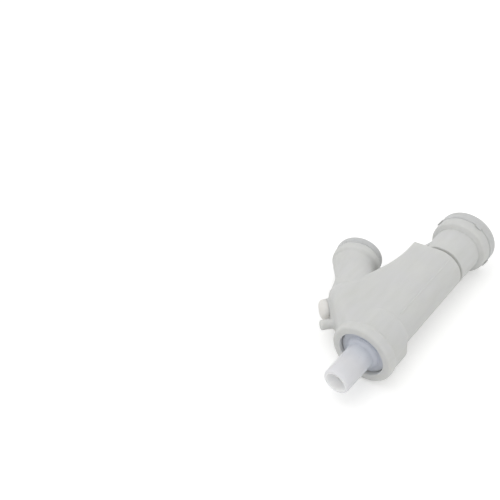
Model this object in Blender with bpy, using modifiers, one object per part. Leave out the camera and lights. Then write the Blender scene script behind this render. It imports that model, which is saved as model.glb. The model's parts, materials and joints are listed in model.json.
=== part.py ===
"""Condensate trap: a Y-shaped moulded body that lies on its side.

Metres, +Z up. While it is modelled, the trap lies level in its own frame: +Y runs along the
main axis from the outlet mouth (y = 0) to the inlet socket, the branch leans towards -X, and
both axes lie in z = 0. At the end one empty tips all pieces onto their three resting rims.
"""
import math

import bmesh
import bpy
from mathutils import Matrix, Vector

# Main tube, one moulding with the hull and the branch neck
TUBE_R = 0.0175
TUBE_WALL = 0.0024
TUBE_LENGTH = 0.1062

# Outlet socket at the lower end of the main tube
SOCKET_R = 0.0193
SOCKET_BORE_R = 0.0166
SOCKET_DEPTH = 0.0290
SOCKET_TAPER_START = 0.0220
SOCKET_TAPER = 0.0100
COLLAR_R = 0.0229
COLLAR_FACE_R = 0.0213
COLLAR_LENGTH = 0.0072
MOUTH_EDGE = 0.0005

# Hull beside the tube: distance along the tube, reach from the main axis, side edge radius.
# From HULL_TAIL_START on it is a thin web, which ends level with the tube.
HULL_TAIL_START = 0.0760
HULL_TAIL_MIDDLE = (HULL_TAIL_START + TUBE_LENGTH) / 2
HULL_OUTLINE = (
    (0.0045, 0.0215, 0.0125),
    (0.0100, 0.0265, 0.0130),
    (0.0200, 0.0370, 0.0130),
    (0.0280, 0.0450, 0.0130),
    (0.0340, 0.0480, 0.0130),
    (0.0400, 0.0446, 0.0125),
    (0.0470, 0.0388, 0.0105),
    (0.0550, 0.0340, 0.0080),
    (0.0650, 0.0294, 0.0055),
    (HULL_TAIL_START, 0.0252, 0.0040),
    (HULL_TAIL_MIDDLE, 0.0229, 0.0031),
    (TUBE_LENGTH, 0.0235, 0.0026),
)
HULL_HALF_HEIGHT = 0.0168
HULL_END_HEIGHT = 0.0159
HULL_TAPER_START = 0.0650
CHAMBER_START = 0.0130
CHAMBER_END = 0.0780
THIN_EDGE_R = 0.0008

# Branch: distance from its root on the main axis, half width, half height
BRANCH_ANGLE = math.radians(33.0)
BRANCH_ROOT = -0.0060
BRANCH_OUTLINE = (
    (0.0300, 0.0150, 0.0140),
    (0.0450, 0.0193, 0.0158),
    (0.0560, 0.0198, 0.0162),
    (0.0670, 0.0175, 0.0158),
    (0.0780, 0.0149, 0.0149),
)
BRANCH_LENGTH = 0.1042
BRANCH_END_R = 0.0174
# Steps of the branch above its waist: distance, radius
BRANCH_STEPS = (
    (0.0805, 0.0148),
    (0.0815, 0.0151),
    (0.0830, 0.0161),
    (0.0845, 0.0164),
    (0.0930, 0.0166),
    (0.0945, 0.0172),
    (0.0955, 0.0182),
    (0.0965, 0.0186),
    (0.0995, 0.0186),
    (0.0999, 0.0184),
    (0.1002, BRANCH_END_R),
    (BRANCH_LENGTH, BRANCH_END_R),
)
BRANCH_BORE_R = 0.0110
BRANCH_BORE_START = 0.0560
BRANCH_ROOM_START = 0.0360
BRANCH_ROOM_END = 0.0760

# Inlet socket piece, which leaves a small gap above the tube. Its neck, shoulder and bell are
# given by radius and distance from the piece's lower edge.
INLET_GAP = 0.0015
INLET_START = TUBE_LENGTH + INLET_GAP
INLET_LENGTH = 0.0417
INLET_END = INLET_START + INLET_LENGTH
INLET_END_R = 0.0211
INLET_PROFILE = (
    (0.0174, 0.0),
    (0.0176, 0.0005),
    (0.0180, 0.0246),
    (0.0184, 0.0259),
    (0.0200, 0.0270),
    (0.0213, 0.0278),
    (0.0220, 0.0291),
    (0.0222, 0.0308),
    (0.0222, 0.0351),
    (INLET_END_R, 0.0358),
    (INLET_END_R, INLET_LENGTH),
)
# Gusset on the neck, beside the hull's end: angle about the axis, radius at its foot and height
GUSSET_ANGLE = math.radians(212.0)
GUSSET_R = 0.0200
GUSSET_HEIGHT = 0.0100
GUSSET_WIDTH = 0.0070
PIPE_BORE_R = 0.0163
PIPE_SOCKET_DEPTH = 0.0340
INLET_SPIGOT_LENGTH = 0.0180
INLET_THROAT_R = 0.0106
FUNNEL_LENGTH = 0.0060
DIP_TUBE_R = 0.0103
DIP_TUBE_BORE_R = 0.0087
DIP_TUBE_END = 0.0500

# Snap rings that keep the lip seals in the two sockets
RING_WALL = 0.0014
RING_FACE = 0.0016
RING_EDGE = 0.0006
RING_BORE_ROOM = 0.0006
INLET_RING_SKIRT = 0.0053
BRANCH_RING_SKIRT = 0.0034
TONGUE_WIDTH = 0.0050
TONGUE_THICK = 0.0011
TONGUE_LAP = 0.0002
TONGUE_REACH = 0.0020
INLET_TONGUE_ANGLES = (299.0, 29.0, 119.0, 209.0)
BRANCH_TONGUE_ANGLES = (40.0, 220.0)
SEAL_WALL = 0.0020
SEAL_DEPTH = 0.0042
SEAL_LIP = 0.0004
SEAL_LIP_WEB = 0.0012
SEAL_LIP_THICK = 0.0006
SEAL_LIP_SLOPE = 0.0014

# Outlet insert with its spigot
INSERT_RECESS = 0.0036
INSERT_FACE_R = 0.0154
INSERT_STEP_R = 0.0123
INSERT_STEP = 0.0008
INSERT_CHAMFER = 0.0012
INSERT_LENGTH = 0.0150
INSERT_SHELF = 0.0045
SPIGOT_R = 0.0095
SPIGOT_BORE_R = 0.0070
SPIGOT_REACH = 0.0290
SPIGOT_FILLET = 0.0022
SPIGOT_FILLET_LENGTH = 0.0037
SPIGOT_DRAFT = 0.0002
SPIGOT_TIP = 0.0016
O_RING_R = 0.0011

# Ball, its seat and its cage
BALL_R = 0.0110
BALL_ROOM = 0.0006
WASHER_THICK = 0.0015
WASHER_LIP = 0.0004
CAGE_WALL = 0.0014
CAGE_EDGE = 0.0004
CAGE_LENGTH = 0.0300
CAGE_STOP_R = 0.0079
CAGE_WINDOW = 0.0180
CAGE_WINDOW_WIDTH = 0.0130
CAGE_WINDOW_ANGLES = (45.0, 135.0)

# Side port with its plug, and the peg beside it: both stand square on the hull's slanted flank
FLANK_ANGLE = math.radians(137.0)
PORT_OUT = 0.0465
PORT_UP = 0.0185
PORT_END = (-PORT_OUT, PORT_UP, 0.0)
PORT_R = 0.0070
PORT_BORE_R = 0.0054
PORT_DEPTH = 0.0160
PLUG_R = 0.0074
PLUG_HEAD = 0.0060
PLUG_DOME = 0.0018
PLUG_SHANK = 0.0090
PLUG_WALL = 0.0012
PEG_OUT = 0.0376
PEG_UP = 0.0066
PEG_END = (-PEG_OUT, PEG_UP, 0.0)
PEG_R = 0.0033
PEG_EDGE = 0.0010
PEG_DEPTH = 0.0150

# Lug on the side of the outlet socket, with a small catch at its upper end
LUG_ANGLE = math.radians(35.0)
LUG_R = 0.0223
LUG_START = 0.0012
LUG_END = 0.0288
LUG_THICK = 0.0110
LUG_EDGE = 0.0010
CATCH_R = 0.0229
CATCH_LENGTH = 0.0030
CATCH_THICK = 0.0060

# Clearance between neighbouring pieces
GAP = 0.0003

# Merge distance for doubled points, and facets around large, middling and small round pieces
MERGE = 0.00001
SHARP_ANGLE = math.radians(35.0)
ROUND_LARGE = 44
ROUND_MID = 36
ROUND_SMALL = 20
RING_ROUND = 28
RING_SECTION = 6
HULL_CORNER = 6
HULL_ARC = 30
PATH_STEPS = 2
BLEND_STEPS = 4

# Radii and places that follow from the sizes above
TUBE_BORE_R = TUBE_R - TUBE_WALL
O_RING_SPAN = 2 * (O_RING_R + GAP)
BRANCH_PLACE = (0.0, BRANCH_ROOT, 0.0)
BRANCH_DIRECTION = Vector((-math.sin(BRANCH_ANGLE), math.cos(BRANCH_ANGLE), 0.0))
MAIN_PLACE = (0.0, 0.0, 0.0)
ALONG_MAIN = (-math.pi / 2, 0.0, 0.0)
ALONG_BRANCH = (-math.pi / 2, 0.0, BRANCH_ANGLE)
OUT_OF_FLANK = (-math.pi / 2, 0.0, FLANK_ANGLE)


def clear_scene():
    """Remove whatever the start-up file holds."""
    for obj in list(bpy.data.objects):
        bpy.data.objects.remove(obj)


def new_collection(name):
    collection = bpy.data.collections.new(name)
    bpy.context.scene.collection.children.link(collection)
    return collection


def plastic(name, colour, roughness):
    """A plain moulded material."""
    material = bpy.data.materials.new(name)
    material.use_nodes = True
    shader = material.node_tree.nodes["Principled BSDF"]
    shader.inputs["Base Color"].default_value = (*colour, 1.0)
    shader.inputs["Roughness"].default_value = roughness
    shader.inputs["Metallic"].default_value = 0.0
    return material


def smooth_step(start, end, share):
    """A value that eases from start to end as share goes from 0 to 1."""
    share = min(max(share, 0.0), 1.0)
    return start + (end - start) * share * share * (3.0 - 2.0 * share)


def eased(radius_a, height_a, radius_b, height_b):
    """Outline points of a soft S-shaped change of radius, without its first point."""
    points = []
    for step in range(1, BLEND_STEPS + 1):
        share = step / BLEND_STEPS
        points.append((smooth_step(radius_a, radius_b, share), height_a + (height_b - height_a) * share))
    return points


def smooth_path(points, steps):
    """Points on a smooth curve through the given ones (Catmull-Rom)."""
    ends = [points[0]] + list(points) + [points[-1]]
    path = [points[0]]
    for before, start, end, after in zip(ends, ends[1:], ends[2:], ends[3:]):
        for step in range(1, steps + 1):
            t = step / steps
            path.append(tuple(
                0.5 * (2 * b + (c - a) * t + (2 * a - 5 * b + 4 * c - d) * t * t
                       + (3 * b - a - 3 * c + d) * t ** 3)
                for a, b, c, d in zip(before, start, end, after)))
    return path


def add_object(name, mesh, place=(0.0, 0.0, 0.0), turn=(0.0, 0.0, 0.0)):
    obj = bpy.data.objects.new(name, mesh)
    bpy.context.scene.collection.objects.link(obj)
    obj.location = place
    obj.rotation_euler = turn
    return obj


def turned(name, outline, facets, place=(0.0, 0.0, 0.0), turn=ALONG_MAIN):
    """Turn an outline of (radius, height) about local Z; it runs down its outer side first."""
    mesh = bpy.data.meshes.new(name)
    points = [(radius, 0.0, height) for radius, height in outline]
    edges = [(i, i + 1) for i in range(len(points) - 1)]
    if outline[0][0] > 0.0:
        edges.append((len(points) - 1, 0))
    mesh.from_pydata(points, edges, [])
    obj = add_object(name, mesh, place, turn)
    screw = obj.modifiers.new("Turn", "SCREW")
    screw.steps = facets
    screw.render_steps = facets
    screw.use_merge_vertices = True
    screw.merge_threshold = MERGE
    return obj


def lofted(name, rings):
    """Close a skin over rings of equally many points."""
    shape = bmesh.new()
    rows = [[shape.verts.new(point) for point in ring] for ring in rings]
    for row, following in zip(rows, rows[1:]):
        for i in range(len(row)):
            j = (i + 1) % len(row)
            shape.faces.new((row[i], row[j], following[j], following[i]))
    shape.faces.new(rows[0])
    shape.faces.new(rows[-1])
    bmesh.ops.recalc_face_normals(shape, faces=shape.faces)
    mesh = bpy.data.meshes.new(name)
    shape.to_mesh(mesh)
    shape.free()
    return add_object(name, mesh)


def box(name, size, centre, turn=(0.0, 0.0, 0.0)):
    """A box with its size applied."""
    bpy.ops.mesh.primitive_cube_add(size=1.0, location=centre, rotation=turn)
    obj = bpy.context.active_object
    obj.name = name
    obj.data.transform(Matrix.Diagonal((*size, 1.0)))
    return obj


def combine(obj, others, operation, cutters):
    """Join other shapes to an object, or cut them from it, and keep them as guides."""
    for other in others:
        boolean = obj.modifiers.new(other.name, "BOOLEAN")
        boolean.operation = operation
        boolean.object = other
        for collection in list(other.users_collection):
            collection.objects.unlink(other)
        cutters.objects.link(other)
        other.hide_render = True
        other.display_type = "WIRE"


def finish(obj, parts, material):
    """Freeze a piece's modifiers into its mesh, shade it and file it with the parts."""
    graph = bpy.context.evaluated_depsgraph_get()
    mesh = bpy.data.meshes.new_from_object(obj.evaluated_get(graph))
    mesh.name = obj.name
    obj.modifiers.clear()
    obj.data = mesh
    mesh.shade_smooth()
    mesh.set_sharp_from_angle(angle=SHARP_ANGLE)
    mesh.materials.clear()
    mesh.materials.append(material)
    for collection in list(obj.users_collection):
        collection.objects.unlink(obj)
    parts.objects.link(obj)
    return obj


def arc(centre, radius, first, last, steps):
    """Points (reach, height) along an arc, both ends included."""
    points = []
    for i in range(steps + 1):
        angle = first + (last - first) * i / steps
        points.append((centre[0] + radius * math.cos(angle), centre[1] + radius * math.sin(angle)))
    return points


def hull_section(station, tube_r, reach, edge_r, half_height):
    """Outline across the main axis: the tube's round with a flat-topped hull drawn off its side."""
    corner = (reach - edge_r, half_height - edge_r)
    distance = math.hypot(*corner)
    tangent = math.atan2(corner[1], corner[0]) + math.acos((tube_r - edge_r) / distance)
    outline = arc(corner, edge_r, 0.0, tangent, HULL_CORNER)
    outline += arc((0.0, 0.0), tube_r, tangent, 2 * math.pi - tangent, HULL_ARC)
    outline += arc((corner[0], -corner[1]), edge_r, -tangent, 0.0, HULL_CORNER)
    return [(-across, station, height) for across, height in outline]


def tube_radius(station):
    """Outer radius of the main tube, which widens to hold the outlet insert."""
    return smooth_step(SOCKET_R, TUBE_R, (station - SOCKET_TAPER_START) / SOCKET_TAPER)


def hull_height(station):
    """Half height of the hull, which is a little lower at the inlet end."""
    share = (station - HULL_TAPER_START) / (TUBE_LENGTH - HULL_TAPER_START)
    return smooth_step(HULL_HALF_HEIGHT, HULL_END_HEIGHT, share)


def hull_shape():
    """Tube and hull as one loft, from inside the collar to the tube's end."""
    rings = []
    for station, reach, edge_r in smooth_path(HULL_OUTLINE, PATH_STEPS):
        rings.append(hull_section(station, tube_radius(station), reach, edge_r, hull_height(station)))
    return lofted("hull", rings)


def gusset_shape():
    """Wedge on the inlet's neck, widest at its foot."""
    turn = Matrix.Rotation(GUSSET_ANGLE, 4, "Y")
    half = GUSSET_WIDTH / 2
    rings = []
    for station, reach in ((INLET_START, GUSSET_R), (INLET_START + GUSSET_HEIGHT, TUBE_R)):
        corners = [(TUBE_BORE_R, half), (reach - GAP, half), (reach, half / 2), (reach, -half / 2),
                   (reach - GAP, -half), (TUBE_BORE_R, -half)]
        rings.append([turn @ Vector((across, station, height)) for across, height in corners])
    return lofted("gusset", rings)


def chamber_shape():
    """The room inside the hull, one wall inside its outer skin."""
    rings = []
    for station, reach, edge_r in smooth_path(HULL_OUTLINE, PATH_STEPS):
        if CHAMBER_START < station < CHAMBER_END:
            rings.append(hull_section(station, TUBE_BORE_R - GAP, reach - TUBE_WALL,
                                      max(edge_r - TUBE_WALL, THIN_EDGE_R),
                                      hull_height(station) - TUBE_WALL))
    return lofted("chamber", rings)


def collar_shape():
    outline = [
        (TUBE_BORE_R, COLLAR_LENGTH + GAP),
        (TUBE_R, COLLAR_LENGTH + GAP),
        (COLLAR_R - MOUTH_EDGE, COLLAR_LENGTH),
        (COLLAR_R, COLLAR_LENGTH - MOUTH_EDGE),
        (COLLAR_R, COLLAR_LENGTH / 2),
        (COLLAR_R - MOUTH_EDGE, COLLAR_LENGTH / 4),
        (COLLAR_FACE_R, 0.0),
        (TUBE_BORE_R, 0.0),
    ]
    return turned("collar", outline, ROUND_LARGE)


def branch_ring(along, half_width, half_height):
    """Points of an ellipse square to the branch."""
    frame = Matrix.Translation(BRANCH_PLACE) @ Matrix.Rotation(BRANCH_ANGLE, 4, "Z")
    ring = []
    for i in range(ROUND_MID):
        angle = 2 * math.pi * i / ROUND_MID
        ring.append(frame @ Vector((half_width * math.cos(angle), along, half_height * math.sin(angle))))
    return ring


def branch_shape():
    """Branch from inside the hull, through its waist, to the bell that takes the overflow pipe."""
    rings = [branch_ring(*row) for row in smooth_path(BRANCH_OUTLINE, PATH_STEPS)]
    rings += [branch_ring(along, radius, radius) for along, radius in BRANCH_STEPS]
    return lofted("branch", rings)


def branch_room():
    """The hollow in the branch's wide root, one wall inside its outer skin."""
    rings = []
    for along, half_width, half_height in smooth_path(BRANCH_OUTLINE, PATH_STEPS):
        if BRANCH_ROOM_START < along < BRANCH_ROOM_END:
            rings.append(branch_ring(along, half_width - TUBE_WALL, half_height - TUBE_WALL))
    return lofted("branch_room", rings)


def branch_bore():
    """Cutter for the branch: seal chamber at its mouth, then the pipe's bore."""
    seal_r = BRANCH_END_R - SEAL_WALL
    outline = [
        (0.0, BRANCH_LENGTH + BRANCH_BORE_R),
        (seal_r, BRANCH_LENGTH + BRANCH_BORE_R),
        (seal_r, BRANCH_LENGTH - SEAL_DEPTH),
        (BRANCH_BORE_R, BRANCH_LENGTH - SEAL_DEPTH),
        (BRANCH_BORE_R, BRANCH_BORE_START),
        (0.0, BRANCH_BORE_START),
    ]
    return turned("branch_bore", outline, ROUND_MID, BRANCH_PLACE, ALONG_BRANCH)


def main_bore():
    """Cutter for the outlet socket and the main tube's bore."""
    outline = [
        (0.0, TUBE_LENGTH + TUBE_R),
        (TUBE_BORE_R, TUBE_LENGTH + TUBE_R),
        (TUBE_BORE_R, SOCKET_DEPTH),
        (SOCKET_BORE_R, SOCKET_DEPTH - (SOCKET_BORE_R - TUBE_BORE_R)),
        (SOCKET_BORE_R, MOUTH_EDGE),
        (SOCKET_BORE_R + 2 * MOUTH_EDGE, -MOUTH_EDGE),
        (SOCKET_BORE_R + 2 * MOUTH_EDGE, -TUBE_R),
        (0.0, -TUBE_R),
    ]
    return turned("main_bore", outline, ROUND_LARGE)


def lug_shape(name, outer_r, first, last, thick, edge):
    """A block on the outlet socket's open side, between two distances along the tube."""
    reach = outer_r - TUBE_BORE_R
    middle = Vector((TUBE_BORE_R + reach / 2, 0.0, 0.0))
    centre = Matrix.Rotation(LUG_ANGLE, 4, "Y") @ middle + Vector((0.0, (first + last) / 2, 0.0))
    obj = box(name, (reach, last - first, thick), centre, (0.0, LUG_ANGLE, 0.0))
    bevel = obj.modifiers.new("Edges", "BEVEL")
    bevel.width = edge
    bevel.segments = 2
    return obj


def build_body(parts, cutters, material):
    """The one large moulding: tube, hull, branch, collar, lug, port and peg."""
    body = hull_shape()
    body.name = "trap_body"
    port_top = -PLUG_HEAD - GAP
    port = [(0.0, port_top), (PORT_R, port_top), (PORT_R, -PORT_DEPTH), (0.0, -PORT_DEPTH)]
    port_bore = [(0.0, PLUG_HEAD), (PORT_BORE_R, PLUG_HEAD), (PORT_BORE_R, -PORT_DEPTH - PLUG_HEAD),
                 (0.0, -PORT_DEPTH - PLUG_HEAD)]
    peg = [(0.0, 0.0), (PEG_R - PEG_EDGE, 0.0), (PEG_R, -PEG_EDGE), (PEG_R, -PEG_DEPTH), (0.0, -PEG_DEPTH)]
    joined = [
        branch_shape(),
        collar_shape(),
        lug_shape("lug", LUG_R, LUG_START, LUG_END, LUG_THICK, LUG_EDGE),
        lug_shape("catch", CATCH_R, LUG_END - CATCH_LENGTH - LUG_EDGE, LUG_END - LUG_EDGE, CATCH_THICK,
                  LUG_EDGE / 2),
        turned("port", port, ROUND_MID, PORT_END, OUT_OF_FLANK),
        turned("peg", peg, ROUND_SMALL, PEG_END, OUT_OF_FLANK),
    ]
    cuts = [
        main_bore(),
        chamber_shape(),
        branch_room(),
        branch_bore(),
        turned("port_bore", port_bore, ROUND_MID, PORT_END, OUT_OF_FLANK),
    ]
    combine(body, joined, "UNION", cutters)
    combine(body, cuts, "DIFFERENCE", cutters)
    return finish(body, parts, material)


def o_ring(name, parts, material, bore_r, station):
    bpy.ops.mesh.primitive_torus_add(
        major_segments=RING_ROUND, minor_segments=RING_SECTION,
        major_radius=bore_r - GAP - O_RING_R, minor_radius=O_RING_R,
        location=(0.0, station, 0.0), rotation=ALONG_MAIN)
    obj = bpy.context.active_object
    obj.name = name
    return finish(obj, parts, material)


def o_ring_groove(bore_r, station):
    """Outline points of the groove that holds an O-ring, from high to low."""
    bottom = bore_r - 2 * GAP - 2 * O_RING_R
    half = O_RING_SPAN / 2
    land = bore_r - 2 * GAP
    return [(land, station + half), (bottom, station + half), (bottom, station - half), (land, station - half)]


def build_inlet(parts, cutters, materials):
    """Upper socket with its dip tube, lip seal, snap ring and O-ring."""
    groove = TUBE_LENGTH - INLET_SPIGOT_LENGTH / 2
    spigot_end = TUBE_LENGTH - INLET_SPIGOT_LENGTH
    land = TUBE_BORE_R - 2 * GAP
    stop = INLET_END - PIPE_SOCKET_DEPTH
    seal_r = INLET_END_R - SEAL_WALL
    outline = [(seal_r, INLET_END)]
    outline += [(radius, INLET_START + height) for radius, height in reversed(INLET_PROFILE)]
    outline.append((land, INLET_START))
    outline += o_ring_groove(TUBE_BORE_R, groove)
    outline += [(land, spigot_end), (DIP_TUBE_R, spigot_end - FUNNEL_LENGTH), (DIP_TUBE_R, DIP_TUBE_END)]
    outline += [(DIP_TUBE_BORE_R, DIP_TUBE_END), (DIP_TUBE_BORE_R, spigot_end - FUNNEL_LENGTH)]
    outline += [(INLET_THROAT_R, spigot_end), (INLET_THROAT_R, stop), (PIPE_BORE_R, stop)]
    outline += [(PIPE_BORE_R, INLET_END - SEAL_DEPTH), (seal_r, INLET_END - SEAL_DEPTH)]
    socket = turned("inlet_socket", outline, ROUND_LARGE)
    combine(socket, [gusset_shape()], "UNION", cutters)
    finish(socket, parts, materials["body"])
    lip_seal("inlet_lip_seal", parts, materials["rubber"], INLET_END, seal_r, PIPE_BORE_R, ROUND_MID,
             MAIN_PLACE, ALONG_MAIN)
    snap_ring("inlet_snap_ring", parts, cutters, materials["ring"], INLET_END, INLET_END_R, PIPE_BORE_R,
              INLET_RING_SKIRT, ROUND_LARGE, MAIN_PLACE, ALONG_MAIN, INLET_TONGUE_ANGLES)
    o_ring("inlet_o_ring", parts, materials["rubber"], TUBE_BORE_R, groove)


def lip_seal(name, parts, material, end, seal_r, pipe_r, facets, place, turn):
    """Rubber ring whose tapered lip bears on the pipe."""
    outer = seal_r - GAP
    top = end - GAP
    bottom = end - SEAL_DEPTH + GAP
    inner = pipe_r + SEAL_LIP_SLOPE
    lip = pipe_r - SEAL_LIP
    outline = [
        (outer, top),
        (outer, bottom),
        (pipe_r + SEAL_LIP_WEB, bottom),
        (lip, bottom + SEAL_LIP_THICK),
        (lip, bottom + 2 * SEAL_LIP_THICK),
        (inner, bottom + 2 * SEAL_LIP_THICK + SEAL_LIP_SLOPE),
        (inner, top),
    ]
    return finish(turned(name, outline, facets, place, turn), parts, material)


def snap_ring(name, parts, cutters, material, end, bell_r, pipe_r, skirt, facets, place, turn, angles):
    """Cap that snaps over a socket's end and keeps its seal in; small tongues reach past its skirt."""
    bore = bell_r + GAP
    outer = bore + RING_WALL
    face = end + GAP
    top = face + RING_FACE
    low = end - skirt
    mouth = pipe_r + RING_BORE_ROOM
    outline = [
        (outer - RING_EDGE, top),
        (outer, top - RING_EDGE),
        (outer, low + RING_EDGE / 2),
        (outer - RING_EDGE / 2, low),
        (bore, low),
        (bore, face),
        (mouth, face),
        (mouth, top),
    ]
    ring = turned(name, outline, facets, place, turn)
    frame = Matrix.Translation(place) @ Matrix.Rotation(turn[2], 4, "Z")
    length = 2 * TONGUE_REACH
    tongues = []
    for number, degrees in enumerate(angles):
        around = Matrix.Rotation(math.radians(degrees), 4, "Y")
        centre = frame @ (around @ Vector((outer - TONGUE_LAP + TONGUE_THICK / 2, 0.0, 0.0))
                          + Vector((0.0, low, 0.0)))
        tongues.append(box("%s_tongue_%d" % (name, number), (TONGUE_THICK, length, TONGUE_WIDTH), centre,
                           (frame @ around).to_euler()))
    combine(ring, tongues, "UNION", cutters)
    return finish(ring, parts, material)


def build_branch_fittings(parts, cutters, materials):
    lip_seal("branch_lip_seal", parts, materials["rubber"], BRANCH_LENGTH, BRANCH_END_R - SEAL_WALL,
             BRANCH_BORE_R, ROUND_MID, BRANCH_PLACE, ALONG_BRANCH)
    snap_ring("branch_snap_ring", parts, cutters, materials["ring"], BRANCH_LENGTH, BRANCH_END_R,
              BRANCH_BORE_R, BRANCH_RING_SKIRT, ROUND_MID, BRANCH_PLACE, ALONG_BRANCH,
              BRANCH_TONGUE_ANGLES)


def build_outlet(parts, cutters, materials):
    """Insert with its spigot and O-ring, the ball's seat, the ball and its cage."""
    face = INSERT_RECESS
    top = face + INSERT_LENGTH
    shelf = top - INSERT_SHELF
    boss_r = BALL_R + BALL_ROOM
    groove = face + INSERT_CHAMFER + O_RING_SPAN
    land = SOCKET_BORE_R - 2 * GAP
    fillet_top = face - INSERT_STEP
    fillet_end = fillet_top - SPIGOT_FILLET_LENGTH
    outline = [(SPIGOT_BORE_R, top), (boss_r, top), (boss_r, shelf), (land, shelf)]
    outline += o_ring_groove(SOCKET_BORE_R, groove)
    outline += [(land, face + INSERT_CHAMFER), (INSERT_FACE_R, face), (INSERT_STEP_R, face)]
    outline += [(INSERT_STEP_R, fillet_top), (SPIGOT_R + SPIGOT_FILLET, fillet_top)]
    outline += eased(SPIGOT_R + SPIGOT_FILLET, fillet_top, SPIGOT_R, fillet_end)
    tip_r = SPIGOT_R - SPIGOT_DRAFT
    outline += [(tip_r, SPIGOT_TIP - SPIGOT_REACH), (tip_r - SPIGOT_TIP / 4, SPIGOT_TIP / 3 - SPIGOT_REACH)]
    outline += [(tip_r - SPIGOT_TIP, -SPIGOT_REACH), (SPIGOT_BORE_R, -SPIGOT_REACH)]
    finish(turned("outlet_insert", outline, ROUND_LARGE), parts, materials["insert"])
    o_ring("outlet_o_ring", parts, materials["rubber"], SOCKET_BORE_R, groove)

    washer_inner = SPIGOT_BORE_R + WASHER_LIP
    washer_low = top + GAP
    washer_top = washer_low + WASHER_THICK
    washer_outline = [
        (boss_r - GAP, washer_top),
        (boss_r - GAP, washer_low),
        (washer_inner, washer_low),
        (washer_inner, washer_top),
    ]
    finish(turned("ball_seat_washer", washer_outline, RING_ROUND), parts, materials["rubber"])

    ball_centre = washer_top + math.sqrt((BALL_R + GAP) ** 2 - washer_inner ** 2)
    bpy.ops.mesh.primitive_uv_sphere_add(segments=ROUND_SMALL, ring_count=ROUND_SMALL // 2, radius=BALL_R,
                                         location=(0.0, ball_centre, 0.0), rotation=ALONG_MAIN)
    ball = bpy.context.active_object
    ball.name = "float_ball"
    finish(ball, parts, materials["ball"])

    inner = boss_r + GAP
    outer = inner + CAGE_WALL
    low = shelf + GAP
    high = low + CAGE_LENGTH
    cage_outline = [
        (outer - CAGE_EDGE, high),
        (outer, high - CAGE_EDGE),
        (outer, low),
        (inner, low),
        (inner, high - CAGE_WALL),
        (CAGE_STOP_R, high - CAGE_WALL),
        (CAGE_STOP_R, high),
    ]
    cage = turned("ball_cage", cage_outline, RING_ROUND)
    middle = (low + high) / 2
    windows = []
    for number, degrees in enumerate(CAGE_WINDOW_ANGLES):
        windows.append(box("cage_window_%d" % number, (4 * outer, CAGE_WINDOW, CAGE_WINDOW_WIDTH),
                           (0.0, middle, 0.0), (0.0, math.radians(degrees), 0.0)))
    combine(cage, windows, "DIFFERENCE", cutters)
    finish(cage, parts, materials["insert"])


def build_port_plug(parts, materials):
    """Push-in plug that blanks the unused side port; height 0 is the top of its head."""
    shank_r = PORT_BORE_R - GAP
    shank_end = -PLUG_HEAD - PLUG_SHANK
    hollow_r = shank_r - PLUG_WALL
    outline = [
        (0.0, 0.0),
        (PLUG_R - 2 * PLUG_DOME, 0.0),
        (PLUG_R - PLUG_DOME, -PLUG_DOME / 4),
        (PLUG_R - PLUG_DOME / 4, -PLUG_DOME),
        (PLUG_R, -2 * PLUG_DOME),
        (PLUG_R, -PLUG_HEAD),
        (shank_r, -PLUG_HEAD),
        (shank_r, shank_end + PLUG_WALL),
        (shank_r - PLUG_WALL / 2, shank_end),
        (hollow_r, shank_end),
        (hollow_r, -PLUG_HEAD + PLUG_WALL),
        (0.0, -PLUG_HEAD + PLUG_WALL),
    ]
    finish(turned("port_plug", outline, RING_ROUND, PORT_END, OUT_OF_FLANK), parts, materials["plug"])


def rest_on_rims(parts):
    """Tip all pieces so that the two socket rims and the collar touch the ground."""
    rim = RING_WALL + GAP
    branch = Vector(BRANCH_PLACE) + BRANCH_DIRECTION * BRANCH_LENGTH
    low_points = [
        Vector((0.0, COLLAR_LENGTH / 2, -COLLAR_R)),
        Vector((0.0, INLET_END, -INLET_END_R - rim)),
        Vector((branch.x, branch.y, -BRANCH_END_R - rim)),
    ]
    up = (low_points[1] - low_points[0]).cross(low_points[2] - low_points[0]).normalized()
    rest = bpy.data.objects.new("rest_pose", None)
    bpy.context.scene.collection.objects.link(rest)
    rest.rotation_mode = "QUATERNION"
    rest.rotation_quaternion = up.rotation_difference(Vector((0.0, 0.0, 1.0)))
    turn = rest.rotation_quaternion.to_matrix().to_4x4()
    corners = [turn @ obj.matrix_world @ vertex.co for obj in parts.objects for vertex in obj.data.vertices]
    lows = [min(corner[axis] for corner in corners) for axis in range(3)]
    highs = [max(corner[axis] for corner in corners) for axis in range(3)]
    rest.location = (-(lows[0] + highs[0]) / 2, -(lows[1] + highs[1]) / 2, -lows[2])
    for obj in parts.objects:
        obj.parent = rest


def main():
    clear_scene()
    parts = new_collection("condensate_trap")
    cutters = new_collection("condensate_trap_cutters")
    materials = {
        "body": plastic("Natural PP", (0.62, 0.63, 0.60), 0.42),
        "ring": plastic("White PP", (0.66, 0.67, 0.66), 0.40),
        "insert": plastic("Clear PP", (0.48, 0.52, 0.60), 0.30),
        "plug": plastic("Cream PE", (0.72, 0.71, 0.66), 0.50),
        "ball": plastic("Ball PP", (0.70, 0.70, 0.70), 0.35),
        "rubber": plastic("Grey rubber", (0.10, 0.10, 0.11), 0.70),
    }
    build_body(parts, cutters, materials["body"])
    build_inlet(parts, cutters, materials)
    build_branch_fittings(parts, cutters, materials)
    build_outlet(parts, cutters, materials)
    build_port_plug(parts, materials)
    bpy.context.view_layer.update()
    rest_on_rims(parts)


main()
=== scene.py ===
# %% [markdown]
# # A condensate trap
# This lesson dresses the solids of a condensate trap: a milky plastic Y that a boiler's
# condensate runs through. The solids arrive from the engineering model as a fixed frame. Where
# a moulding has soft blends that solids made by cutting and joining don't have, a new piece stands
# in its place.

# %% Load the frame
import json
import math

import bpy
from mathutils import Matrix, Vector

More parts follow.
